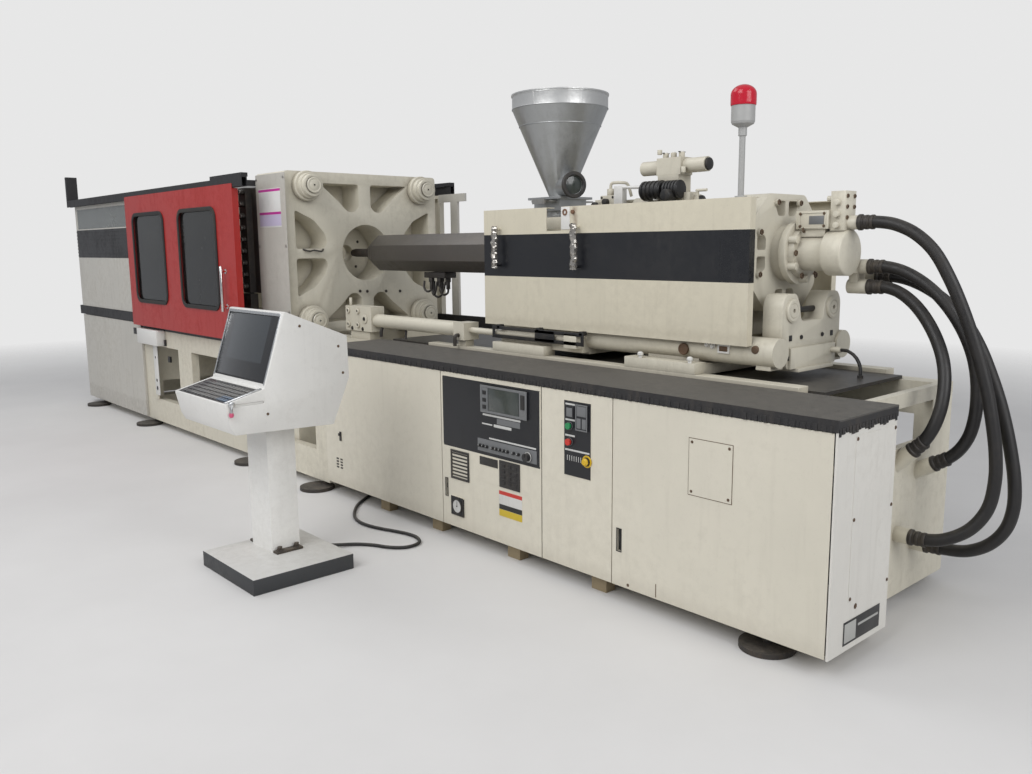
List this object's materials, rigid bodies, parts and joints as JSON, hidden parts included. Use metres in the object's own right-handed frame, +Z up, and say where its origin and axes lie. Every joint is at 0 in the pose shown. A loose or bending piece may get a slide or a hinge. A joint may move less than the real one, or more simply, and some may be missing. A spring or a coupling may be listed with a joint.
{
  "type": "injection moulding machine",
  "caption": "Horizontal plastic injection moulding machine with a hydraulic clamp, an injection unit on a carriage, a hopper, a row of cabinets and a control stand.",
  "frame": {"origin": "on the floor under the middle of the whole, cords left out", "axes": "+X along the machine towards the injection end, -Y to the operator's side, +Z up"},
  "size_m": [8.577, 2.97, 2.38],
  "materials": {
    "cream_paint": "satin",
    "cabinet_paint": "satin",
    "black_plate": "matte",
    "ribbed_mat": "matte",
    "bar_steel": "satin",
    "rail_steel": "matte",
    "dark_fittings": "matte",
    "dark_iron": "matte",
    "tank_paint": "satin",
    "pump_paint": "satin",
    "device_plastic": "matte",
    "screen_plastic": "satin",
    "hose_rubber": "matte",
    "cable_rubber": "matte",
    "band_steel": "satin",
    "shroud_paint": "matte",
    "hopper_steel": "satin",
    "beacon_base": "satin",
    "beacon_lens": "gloss",
    "chrome_rod": "gloss",
    "door_red": "satin",
    "window_glass": "gloss",
    "button_green": "gloss",
    "button_red": "gloss",
    "knob_plastic": "satin"
  },
  "bodies": {
    "machine": {"bed_frame": "cream_paint", "bed_plate": "black_plate", "guide_rails": "cream_paint", "cabinet_carcass": "cabinet_paint", "end_panel": "cabinet_paint", "top_mat": "ribbed_mat", "operator_panel": "cabinet_paint", "stationary_platen": "cream_paint", "tie_bars": "bar_steel", "tie_bar_nuts": "cream_paint", "clamp_cylinder": "cream_paint", "side_guards": "cabinet_paint", "lower_panels": "cabinet_paint", "door_rails": "rail_steel", "water_manifold": "dark_fittings", "levelling_feet": "dark_iron", "oil_tank": "tank_paint", "pump_set": "pump_paint", "traverse_cylinder": "cream_paint", "switch_gear": "device_plastic", "stand_column": "cabinet_paint", "console_housing": "cabinet_paint", "console_panels": "screen_plastic", "hose_upper": "hose_rubber", "hose_middle": "hose_rubber", "hose_lower": "hose_rubber", "hose_outer": "hose_rubber", "stand_cable": "cable_rubber", "yoke_cable": "cable_rubber"},
    "carriage": {"carriage_base": "cream_paint", "base_tubes": "cream_paint", "yoke": "cream_paint", "barrel_housing": "cream_paint", "barrel": "bar_steel", "heater_bands": "band_steel", "nozzle": "dark_iron", "barrel_shroud": "shroud_paint", "hopper": "hopper_steel", "unit_cover": "cream_paint", "injection_cylinder": "cream_paint", "drive_motor": "cream_paint", "valve_blocks": "cream_paint", "beacon": "beacon_base", "beacon_lamp": "beacon_lens"},
    "injection": {"injection_piston": "chrome_rod"},
    "screw": {"screw": "bar_steel"},
    "drive_shaft": {"drive_shaft": "bar_steel"},
    "platen": {"moving_platen": "cream_paint", "clamp_ram": "chrome_rod"},
    "ejector": {"ejector": "bar_steel"},
    "safety_door": {"safety_door": "door_red", "door_windows": "window_glass"},
    "rear_door": {"rear_door": "cabinet_paint"},
    "left_door": {"left_door": "cabinet_paint"},
    "control_door": {"control_door": "cabinet_paint"},
    "main_door": {"main_door": "cabinet_paint"},
    "start_button": {"start_button": "button_green"},
    "stop_button": {"stop_button": "button_red"},
    "selector": {"selector_knob": "knob_plastic"},
    "gate": {"hopper_gate": "bar_steel"}
  },
  "joints": [
    {"name": "carriage_slide", "type": "slide", "parent": "machine", "child": "carriage", "axis": [1, 0, 0], "range_m": [-0.22, 0.25], "deforming": ["hose_upper", "hose_middle", "hose_lower", "hose_outer", "yoke_cable"]},
    {"name": "injection_slide", "type": "slide", "parent": "carriage", "child": "injection", "axis": [1, 0, 0], "range_m": [0, 0.38]},
    {"name": "screw_spin", "type": "hinge", "parent": "injection", "child": "screw", "pos_m": [1, 0.565, 1.505], "axis": [1, 0, 0], "continuous": true},
    {"name": "drive_shaft_spin", "type": "hinge", "parent": "carriage", "child": "drive_shaft", "pos_m": [3.1, 0.565, 1.505], "axis": [1, 0, 0], "continuous": true},
    {"name": "platen_slide", "type": "slide", "parent": "machine", "child": "platen", "axis": [1, 0, 0], "range_m": [-0.45, 0.35]},
    {"name": "ejector_slide", "type": "slide", "parent": "platen", "child": "ejector", "axis": [1, 0, 0], "range_m": [0, 0.085]},
    {"name": "safety_door_slide", "type": "slide", "parent": "machine", "child": "safety_door", "axis": [-1, 0, 0], "range_m": [0, 1.6]},
    {"name": "rear_door_slide", "type": "slide", "parent": "machine", "child": "rear_door", "axis": [-1, 0, 0], "range_m": [0, 1.6]},
    {"name": "left_door_hinge", "type": "hinge", "parent": "machine", "child": "left_door", "pos_m": [1.9105, -0.297, 0.5], "axis": [0, 0, 1], "range_deg": [0, 40]},
    {"name": "control_door_hinge", "type": "hinge", "parent": "machine", "child": "control_door", "pos_m": [2.6795, -0.297, 0.5], "axis": [0, 0, 1], "range_deg": [0, 100]},
    {"name": "main_door_hinge", "type": "hinge", "parent": "machine", "child": "main_door", "pos_m": [4.137, -0.297, 0.5], "axis": [0, 0, 1], "range_deg": [0, 110]},
    {"name": "start_button_travel", "type": "slide", "parent": "machine", "child": "start_button", "axis": [0, 1, 0], "range_m": [0, 0.004], "stiffness_N_per_m": 400},
    {"name": "stop_button_travel", "type": "slide", "parent": "machine", "child": "stop_button", "axis": [0, 1, 0], "range_m": [0, 0.004], "stiffness_N_per_m": 400},
    {"name": "selector_turn", "type": "hinge", "parent": "control_door", "child": "selector", "pos_m": [2.604, -0.325, 0.556], "axis": [0, 1, 0], "range_deg": [-60, 60]},
    {"name": "hopper_gate_slide", "type": "slide", "parent": "carriage", "child": "gate", "axis": [0, -1, 0], "range_m": [0, 0.1]}
  ],
  "couplings": [
    {"joint": "drive_shaft_spin", "follows": "screw_spin", "ratio": 1}
  ]
}
